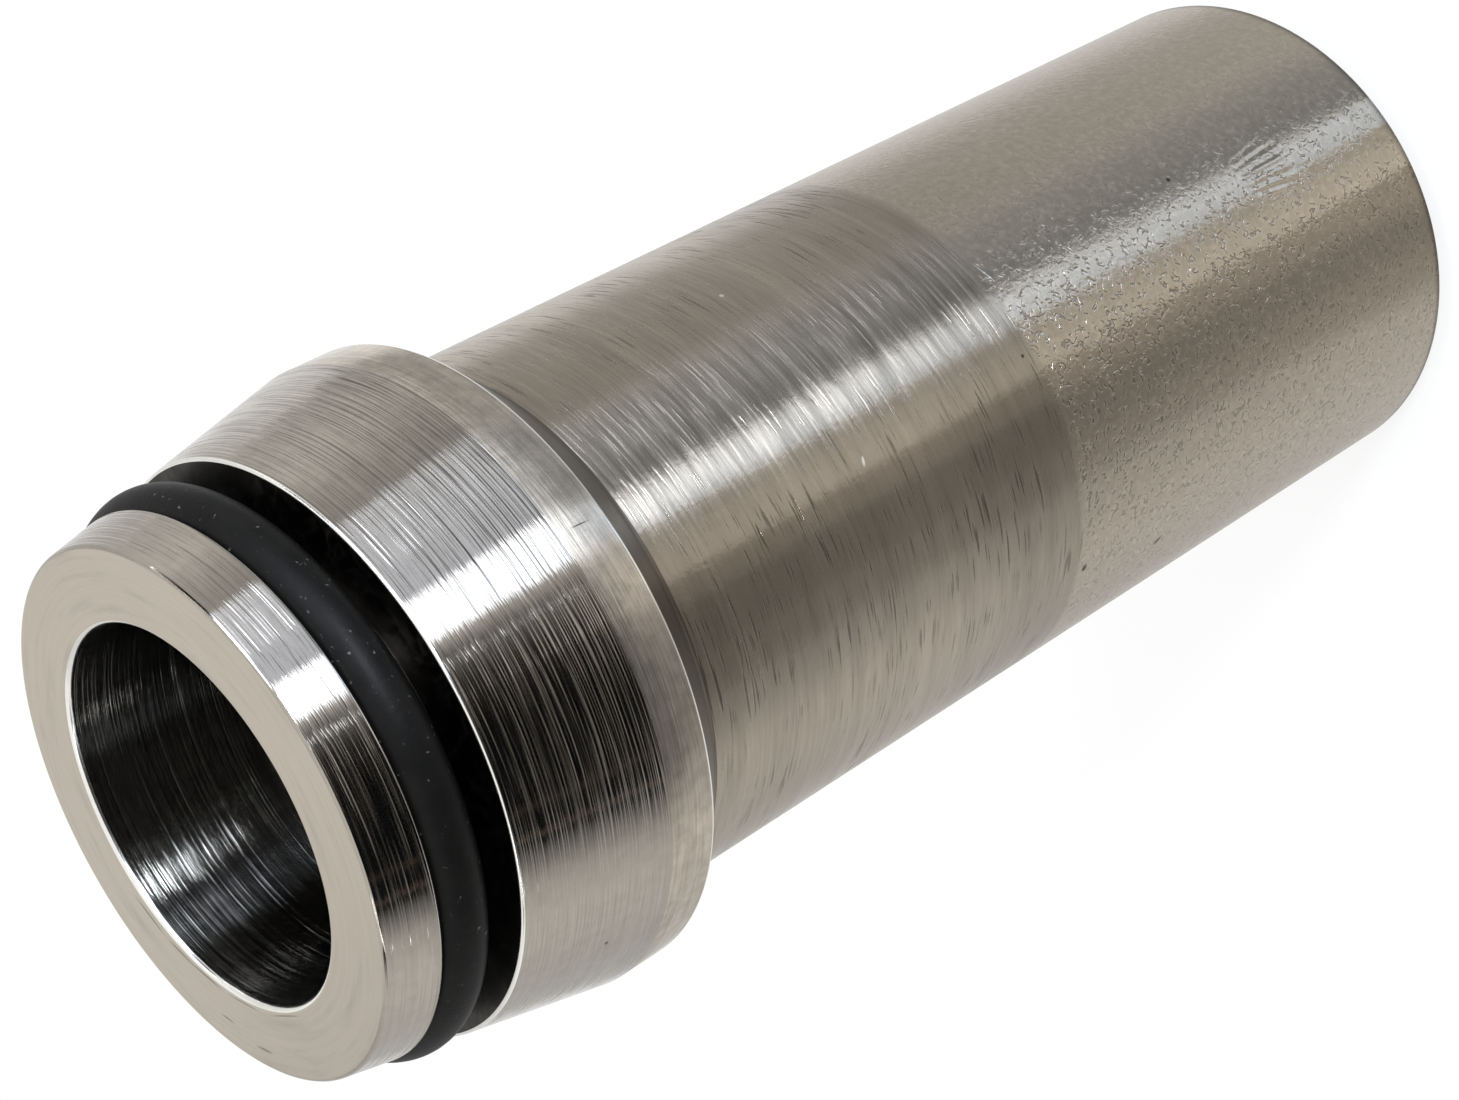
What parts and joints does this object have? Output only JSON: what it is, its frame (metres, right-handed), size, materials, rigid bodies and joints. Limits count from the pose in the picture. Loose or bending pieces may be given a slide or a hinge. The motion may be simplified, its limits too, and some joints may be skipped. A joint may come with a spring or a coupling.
{
  "type": "weld nipple",
  "caption": "Turned steel weld nipple: a plain tube-size barrel, a nut shoulder and a 24 degree sealing cone with a grooved rubber O-ring and a through bore.",
  "frame": {"origin": "centre of the weld end, on the face that it stands on", "axes": "+Z along the bore towards the nose; the nipple is round about Z"},
  "size_m": [0.029, 0.029, 0.069],
  "materials": {
    "turned_steel": "bright turned steel, satin, with fine circumferential tool marks",
    "nitrile_rubber": "matt black moulded rubber"
  },
  "bodies": {
    "root": {"nipple_body": "turned_steel", "o_ring": "nitrile_rubber"}
  },
  "joints": []
}
